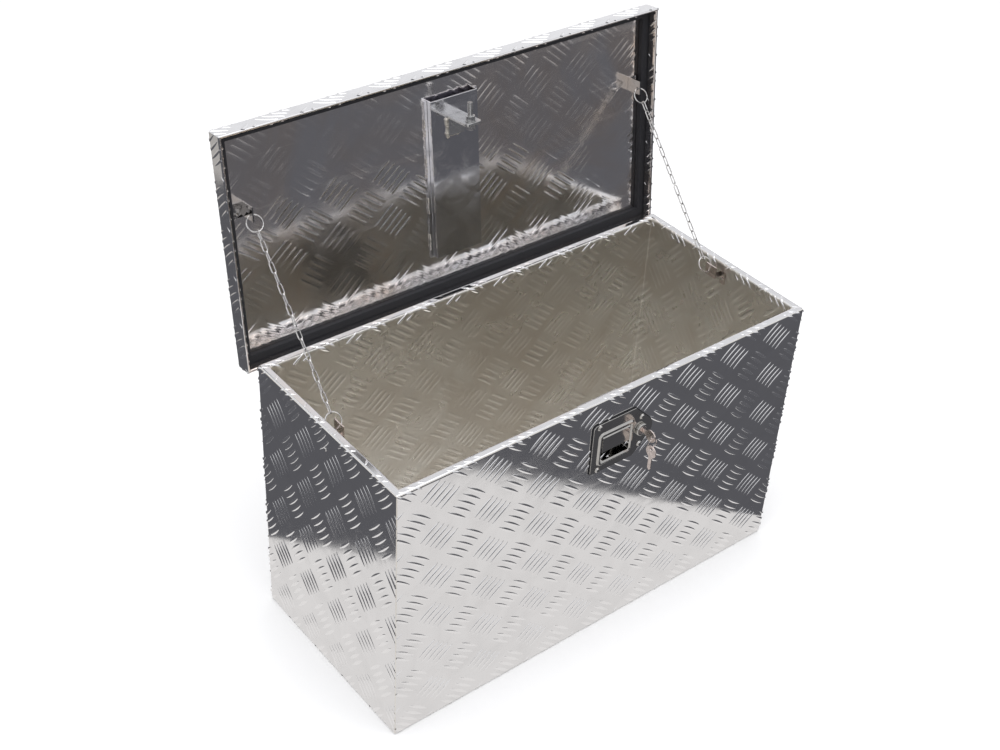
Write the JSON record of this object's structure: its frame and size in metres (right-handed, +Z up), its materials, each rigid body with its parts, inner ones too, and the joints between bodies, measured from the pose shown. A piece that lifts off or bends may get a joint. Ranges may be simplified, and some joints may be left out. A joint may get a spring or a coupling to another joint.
{
  "type": "tool box",
  "caption": "Tread-plate aluminium chest with a hinged tray lid held by chains and a keyed paddle latch, for storing tools.",
  "frame": {"origin": "centre of the tub underside", "axes": "+X along the box to the right seen from the latch side, +Y to the hinge side, +Z up"},
  "size_m": [0.7842, 0.4637, 0.8063],
  "materials": {
    "tread_plate": "bright rolled five-bar tread plate",
    "plain_aluminium": "mill-finish sheet",
    "zinc_steel": "zinc-plated steel",
    "polished_steel": "polished stainless steel",
    "nickel": "nickel-plated, slightly warm",
    "seal": "black foam rubber"
  },
  "bodies": {
    "tub": {"hinge_pin": "zinc_steel", "hinge_tub_leaf": "zinc_steel", "latch_frame": "zinc_steel", "latch_gasket": "seal", "latch_pan": "polished_steel", "latch_rivet_bottom_left": "polished_steel", "latch_rivet_bottom_right": "polished_steel", "latch_rivet_top_left": "polished_steel", "latch_rivet_top_right": "polished_steel", "lock_body": "polished_steel", "lock_nut": "zinc_steel", "paddle_pin": "zinc_steel", "paddle_spring": "zinc_steel", "pawl_pin": "zinc_steel", "pawl_spring": "zinc_steel", "tub": "tread_plate", "tub_bracket_left": "plain_aluminium", "tub_bracket_right": "plain_aluminium", "tub_bracket_rivet_left": "plain_aluminium", "tub_bracket_rivet_right": "plain_aluminium"},
    "lid": {"hinge_lid_leaf": "zinc_steel", "lid": "tread_plate", "lid_bracket_left": "plain_aluminium", "lid_bracket_right": "plain_aluminium", "lid_bracket_rivet_left": "plain_aluminium", "lid_bracket_rivet_right": "plain_aluminium", "lid_channel": "plain_aluminium", "lid_seal": "seal", "striker_nut_front": "zinc_steel", "striker_nut_rear": "zinc_steel", "striker_plate": "plain_aluminium", "striker_stud": "zinc_steel", "striker_washer_front": "zinc_steel", "striker_washer_rear": "zinc_steel"},
    "left_lower_chain": {"left_lower_links": "zinc_steel", "left_lower_ring": "nickel"},
    "right_lower_chain": {"right_lower_links": "zinc_steel", "right_lower_ring": "nickel"},
    "left_upper_chain": {"left_upper_links": "zinc_steel", "left_upper_ring": "nickel"},
    "right_upper_chain": {"right_upper_links": "zinc_steel", "right_upper_ring": "nickel"},
    "paddle": {"latch_paddle": "polished_steel"},
    "pawl": {"latch_pawl": "zinc_steel"},
    "lock_plug": {"lock_plug": "nickel", "lock_cam": "zinc_steel", "cam_screw": "zinc_steel", "key": "nickel"},
    "key_ring": {"key_ring": "nickel"},
    "spare_key": {"spare_key": "nickel"}
  },
  "joints": [
    {"name": "lid_hinge", "type": "hinge", "parent": "tub", "child": "lid", "pos_m": [0, 0.1811, 0.4452], "axis": [1, 0, 0], "range_deg": [0, 96.26]},
    {"name": "left_lower_chain", "type": "hinge", "parent": "tub", "child": "left_lower_chain", "pos_m": [-0.3558, 0.0085, 0.4435], "axis": [1, 0, 0], "range_deg": [-143.7, 0]},
    {"name": "left_upper_chain", "type": "hinge", "parent": "lid", "child": "left_upper_chain", "pos_m": [-0.3558, 0.21294, 0.68225], "axis": [1, 0, 0], "range_deg": [-38.2, 0]},
    {"name": "right_lower_chain", "type": "hinge", "parent": "tub", "child": "right_lower_chain", "pos_m": [0.3558, 0.0085, 0.4435], "axis": [1, 0, 0], "range_deg": [-143.7, 0]},
    {"name": "right_upper_chain", "type": "hinge", "parent": "lid", "child": "right_upper_chain", "pos_m": [0.3558, 0.21294, 0.68225], "axis": [1, 0, 0], "range_deg": [-38.2, 0]},
    {"name": "paddle_hinge", "type": "hinge", "parent": "tub", "child": "paddle", "pos_m": [0, -0.1733, 0.3968], "axis": [1, 0, 0], "range_deg": [-25, 0], "stiffness_Nm_per_rad": 0.06, "springref_deg": 20.05},
    {"name": "pawl_pivot", "type": "hinge", "parent": "tub", "child": "pawl", "pos_m": [0.009, -0.1316, 0.3983], "axis": [0, 1, 0], "range_deg": [0, 36.5]},
    {"name": "lock_turn", "type": "hinge", "parent": "tub", "child": "lock_plug", "pos_m": [0.049, -0.1763, 0.381], "axis": [0, 1, 0], "range_deg": [-90, 0]},
    {"name": "key_ring_swing", "type": "hinge", "parent": "lock_plug", "child": "key_ring", "pos_m": [0.049, -0.2033, 0.3791], "axis": [1, 0, 0], "range_deg": [-60, 3]},
    {"name": "spare_key_swing", "type": "hinge", "parent": "key_ring", "child": "spare_key", "pos_m": [0.049, -0.2033, 0.3621], "axis": [1, 0, 0], "range_deg": [-40, 3]}
  ],
  "couplings": [
    {"joint": "left_lower_chain", "follows": "lid_hinge", "ratio": -1.4912},
    {"joint": "left_upper_chain", "follows": "lid_hinge", "ratio": -0.39543},
    {"joint": "right_lower_chain", "follows": "lid_hinge", "ratio": -1.4912},
    {"joint": "right_upper_chain", "follows": "lid_hinge", "ratio": -0.39543},
    {"joint": "pawl_pivot", "follows": "paddle_hinge", "ratio": -1.44}
  ]
}
